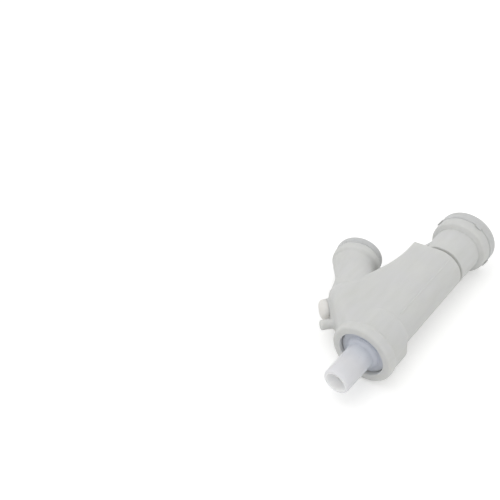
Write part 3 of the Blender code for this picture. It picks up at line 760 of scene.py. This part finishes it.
def add(tree, kind, settings=None, inputs=None):
    """Add a node; an input is a value or the output socket that feeds it."""
    made = tree.nodes.new(kind)
    for name, value in (settings or {}).items():
        setattr(made, name, value)
    for key, value in (inputs or {}).items():
        if isinstance(value, bpy.types.NodeSocket):
            tree.links.new(value, made.inputs[key])
        else:
            made.inputs[key].default_value = value
    return made


def new_finish(name):
    """A new material with its tree, its shader and the object's own coordinates."""
    material = bpy.data.materials.new(name)
    material.use_nodes = True
    tree = material.node_tree
    shader = tree.nodes["Principled BSDF"]
    place = add(tree, "ShaderNodeTexCoord").outputs["Object"]
    return material, tree, shader, place


# %% [markdown]
# ### Natural polypropylene
# The body and the inlet piece are undyed polypropylene, which is milky because light scatters
# between its crystals. The mould was spark eroded, which leaves a very fine satin grain. So the
# shader is a plain dielectric of IOR 1.49 and medium roughness, with light that scatters a few
# millimetres under the skin. The colour drifts a little between a warm and a cool white over
# about 15 mm, as the melt cooled unevenly. The grain is about 0.3 mm, drawn at 0.5 mm to show.

# %% Milky polypropylene


def milky_polypropylene(name, warm, cool, deep, roughness):
    material, tree, shader, place = new_finish(name)
    cloud = add(tree, "ShaderNodeTexNoise", {}, {"Vector": place, "Scale": 1.0 / 0.015, "Detail": 3.0,
                                                "Roughness": 0.5})
    tint = add(tree, "ShaderNodeMix", {"data_type": "RGBA"}, {0: cloud.outputs["Fac"], 6: linear(warm),
                                                             7: linear(cool)})
    streak_space = add(tree, "ShaderNodeMapping", {}, {"Vector": place, "Scale": (1.0, 0.18, 1.0)})
    streak = add(tree, "ShaderNodeTexNoise", {}, {"Vector": streak_space.outputs["Vector"],
                                                 "Scale": 1.0 / 0.004, "Detail": 2.0})
    faint = add(tree, "ShaderNodeMapRange", {}, {"Value": streak.outputs["Fac"], "From Min": 0.35,
                                                "From Max": 0.75, "To Min": 0.0, "To Max": 0.35})
    colour = add(tree, "ShaderNodeMix", {"data_type": "RGBA"}, {0: faint.outputs["Result"],
                                                               6: tint.outputs[2], 7: linear(deep)})
    grain = add(tree, "ShaderNodeTexNoise", {}, {"Vector": place, "Scale": 1.0 / 0.0005, "Detail": 2.0})
    gloss = add(tree, "ShaderNodeMapRange", {}, {"Value": grain.outputs["Fac"], "To Min": roughness - 0.06,
                                                "To Max": roughness + 0.06})
    bump = add(tree, "ShaderNodeBump", {}, {"Height": grain.outputs["Fac"], "Strength": 0.12,
                                           "Distance": 0.00005})
    tree.links.new(colour.outputs[2], shader.inputs["Base Color"])
    tree.links.new(gloss.outputs["Result"], shader.inputs["Roughness"])
    tree.links.new(bump.outputs["Normal"], shader.inputs["Normal"])
    shader.inputs["IOR"].default_value = 1.49
    shader.inputs["Subsurface Weight"].default_value = 0.6
    shader.inputs["Subsurface Radius"].default_value = (1.0, 0.97, 0.92)
    shader.inputs["Subsurface Scale"].default_value = 0.004
    return material


body_finish = milky_polypropylene("milky_polypropylene", "D3D4CF", "CFCFD1", "C6C7C3", 0.42)
ring_finish = milky_polypropylene("satin_white_polypropylene", "CACBC8", "C7C8CA", "BFC0BE", 0.38)
trap_body.data.materials.clear()
trap_body.data.materials.append(body_finish)
inlet_bell.data.materials.append(body_finish)
for ring in (inlet_ring, branch_ring):
    ring.data.materials.append(ring_finish)
print("finishes:", body_finish.name, ring_finish.name)

# %% [markdown]
# ### Clearer polypropylene, with painted light and shade
# The insert is a clearer grade. Its flange sits in front of the dark inside of the trap, in shade,
# and the spigot stands in the open, where light enters its wall from all sides. The light that
# scatters under the skin gives part of this, and the rest is painted into the colour. A ramp along
# the main axis goes from a painted shade, cool and grey, at the flange to a painted light, nearly
# white, at the tip.

# %% Clear polypropylene


def clear_polypropylene_painted_light(name, painted_shade_at_flange, painted_light_at_tip, first, last):
    material, tree, shader, place = new_finish(name)
    along = add(tree, "ShaderNodeSeparateXYZ", {}, {"Vector": place})
    # painted light and shade: darker at the flange, paler towards the spigot's tip
    painted_light_ramp = add(tree, "ShaderNodeMapRange", {"interpolation_type": "SMOOTHSTEP"},
               {"Value": along.outputs["Y"], "From Min": first, "From Max": last})
    colour = add(tree, "ShaderNodeMix", {"data_type": "RGBA"}, {0: painted_light_ramp.outputs["Result"],
                                                               6: linear(painted_shade_at_flange), 7: linear(painted_light_at_tip)})
    # inside the bore light comes in through the wall too; the scattering under the skin carries some of it,
    # and the rest is painted light: the bore's skin is painted paler than the outside
    across = add(tree, "ShaderNodeMapping", {}, {"Vector": place, "Scale": (1.0, 0.0, 1.0),
                                                "Location": (-MOUTH.x, 0.0, -MOUTH.z)})
    radius = add(tree, "ShaderNodeVectorMath", {"operation": "LENGTH"}, {0: across.outputs["Vector"]})
    inside = add(tree, "ShaderNodeMapRange", {}, {"Value": radius.outputs["Value"], "From Min": 0.0080,
                                                 "From Max": 0.0072})
    # painted light: the bore's inner skin is mixed towards near white
    with_painted_bore_light = add(tree, "ShaderNodeMix", {"data_type": "RGBA"}, {0: inside.outputs["Result"],
                                                            6: colour.outputs[2], 7: linear("FBFBFC")})
    cloud = add(tree, "ShaderNodeTexNoise", {}, {"Vector": place, "Scale": 1.0 / 0.006, "Detail": 3.0})
    drift = add(tree, "ShaderNodeMapRange", {}, {"Value": cloud.outputs["Fac"], "To Min": 0.95,
                                                "To Max": 1.03})
    mottled = add(tree, "ShaderNodeMix", {"data_type": "RGBA", "blend_type": "MULTIPLY"},
                  {0: 1.0, 6: with_painted_bore_light.outputs[2], 7: drift.outputs["Result"]})
    ripple = add(tree, "ShaderNodeTexNoise", {}, {"Vector": place, "Scale": 1.0 / 0.002, "Detail": 1.0})
    gloss = add(tree, "ShaderNodeMapRange", {}, {"Value": ripple.outputs["Fac"], "To Min": 0.24,
                                                "To Max": 0.36})
    bump = add(tree, "ShaderNodeBump", {}, {"Height": ripple.outputs["Fac"], "Strength": 0.10,
                                           "Distance": 0.0001})
    tree.links.new(mottled.outputs[2], shader.inputs["Base Color"])
    tree.links.new(gloss.outputs["Result"], shader.inputs["Roughness"])
    tree.links.new(bump.outputs["Normal"], shader.inputs["Normal"])
    shader.inputs["IOR"].default_value = 1.49
    shader.inputs["Subsurface Weight"].default_value = 1.0
    shader.inputs["Subsurface Radius"].default_value = (0.95, 0.97, 1.0)
    shader.inputs["Subsurface Scale"].default_value = 0.007
    return material


# the first colour is painted shade at the flange, the second painted light at the tip; the same painted ramp
# makes the cage darker towards the mouth
insert_finish = clear_polypropylene_painted_light("clear_polypropylene_painted_light", "CED2DC", "D5D5D8", -0.0600, -0.0790)
cage_finish = clear_polypropylene_painted_light("clear_polypropylene_cage", "C2C6D0", "C8CBD2", -0.0400, -0.0200)
spigot_insert.data.materials.append(insert_finish)
barred_cage.data.materials.append(cage_finish)
print("finishes:", insert_finish.name, cage_finish.name)

# %% [markdown]
# ### Polyethylene plug, ball and rubber
# The plug is soft polyethylene, a little warmer, paler and duller than the body. The ball is the same
# plastic as the body, polished in its mould. The rubber is dark grey EPDM, with a dry bloom that
# makes patches of it paler and rougher.

# %% Plug, ball and rubber
plug_finish = milky_polypropylene("soft_polyethylene", "E6E4E0", "E2E0DD", "DCDAD7", 0.48)
ball_finish = milky_polypropylene("polished_polypropylene", "D8D8D6", "D2D3D4", "CBCCCC", 0.28)


def bloomed_rubber(name, dark, bloom):
    material, tree, shader, place = new_finish(name)
    patch = add(tree, "ShaderNodeTexNoise", {}, {"Vector": place, "Scale": 1.0 / 0.005, "Detail": 4.0})
    cover = add(tree, "ShaderNodeMapRange", {}, {"Value": patch.outputs["Fac"], "From Min": 0.40,
                                                "From Max": 0.75, "To Min": 0.0, "To Max": 0.6})
    colour = add(tree, "ShaderNodeMix", {"data_type": "RGBA"}, {0: cover.outputs["Result"], 6: linear(dark),
                                                               7: linear(bloom)})
    gloss = add(tree, "ShaderNodeMapRange", {}, {"Value": cover.outputs["Result"], "To Min": 0.55,
                                                "To Max": 0.85})
    grain = add(tree, "ShaderNodeTexNoise", {}, {"Vector": place, "Scale": 1.0 / 0.0003, "Detail": 2.0})
    bump = add(tree, "ShaderNodeBump", {}, {"Height": grain.outputs["Fac"], "Strength": 0.25,
                                           "Distance": 0.00005})
    tree.links.new(colour.outputs[2], shader.inputs["Base Color"])
    tree.links.new(gloss.outputs["Result"], shader.inputs["Roughness"])
    tree.links.new(bump.outputs["Normal"], shader.inputs["Normal"])
    shader.inputs["IOR"].default_value = 1.52
    return material


rubber_finish = bloomed_rubber("epdm_rubber", "3A3B3E", "56575A")
plug.data.materials.append(plug_finish)
hollow_ball.data.materials.append(ball_finish)
for piece in (inlet_seal, branch_seal, inlet_cord, outlet_cord, seat):
    piece.data.materials.append(rubber_finish)
print("finishes:", plug_finish.name, ball_finish.name, rubber_finish.name)

# %% [markdown]
# ## Floor, world and light
# The trap lies on a plain white floor. The world is an even pale dome, and one large soft lamp
# high above the trap gives the surfaces that face it a slightly lighter tone. What the camera sees
# of the world, and what gloss reflects of it, is plain white.

# %% Floor
bpy.ops.object.select_all(action="DESELECT")
bpy.ops.mesh.primitive_plane_add(size=6.0, location=(0.0, 0.0, 0.0))
floor = bpy.context.object
floor.name = "floor"
material, tree, shader, place = new_finish("white_paper_floor")
shader.inputs["Base Color"].default_value = linear("F4F4F3")
shader.inputs["Roughness"].default_value = 0.9
shader.inputs["Specular IOR Level"].default_value = 0.1
rays = add(tree, "ShaderNodeLightPath")
glow = add(tree, "ShaderNodeEmission", {}, {"Color": (1.0, 1.0, 1.0, 1.0)})
lift = add(tree, "ShaderNodeMath", {"operation": "MULTIPLY"}, {0: rays.outputs["Is Camera Ray"], 1: 0.28})
tree.links.new(lift.outputs["Value"], glow.inputs["Strength"])
both = add(tree, "ShaderNodeAddShader", {}, {0: shader.outputs["BSDF"], 1: glow.outputs["Emission"]})
tree.links.new(both.outputs["Shader"], tree.nodes["Material Output"].inputs["Surface"])
floor.data.materials.append(material)
floor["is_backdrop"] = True
print("floor:", floor.name)

# %% World and lamp
AMBIENT = 0.81
KEY_WATTS = 2.3

world = bpy.data.worlds.new("pale_dome")
bpy.context.scene.world = world
world.use_nodes = True
tree = world.node_tree
dome_light = tree.nodes["Background"]
dome_light.inputs["Color"].default_value = (1.0, 1.0, 1.0, 1.0)
dome_light.inputs["Strength"].default_value = AMBIENT
white = add(tree, "ShaderNodeBackground", {}, {"Color": (1.0, 1.0, 1.0, 1.0), "Strength": 1.0})
rays = add(tree, "ShaderNodeLightPath")
seen = add(tree, "ShaderNodeMath", {"operation": "MAXIMUM"}, {0: rays.outputs["Is Camera Ray"],
                                                             1: rays.outputs["Is Glossy Ray"]})
seen_through = add(tree, "ShaderNodeMath", {"operation": "MAXIMUM"}, {0: seen.outputs["Value"],
                                                                     1: rays.outputs["Is Transmission Ray"]})
choose = add(tree, "ShaderNodeMixShader", {}, {0: seen_through.outputs["Value"],
                                              1: dome_light.outputs["Background"],
                                              2: white.outputs["Background"]})
tree.links.new(choose.outputs["Shader"], tree.nodes["World Output"].inputs["Surface"])

lamp_data = bpy.data.lights.new("soft_key", "AREA")
lamp_data.shape = "SQUARE"
lamp_data.size = 0.8
lamp_data.energy = KEY_WATTS
lamp = bpy.data.objects.new("soft_key", lamp_data)
bpy.context.scene.collection.objects.link(lamp)
lamp.location = (-0.20, -0.25, 1.05)
lamp.rotation_euler = (Vector((0.0, 0.0, 0.02)) - lamp.location).to_track_quat("-Z", "Y").to_euler()
bpy.context.scene.view_settings.view_transform = "Standard"
print("lamp at", [round(v, 2) for v in lamp.location])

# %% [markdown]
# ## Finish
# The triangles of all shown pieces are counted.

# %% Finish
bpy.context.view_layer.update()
total = sum(count(piece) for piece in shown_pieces())
print("triangles in all:", total)
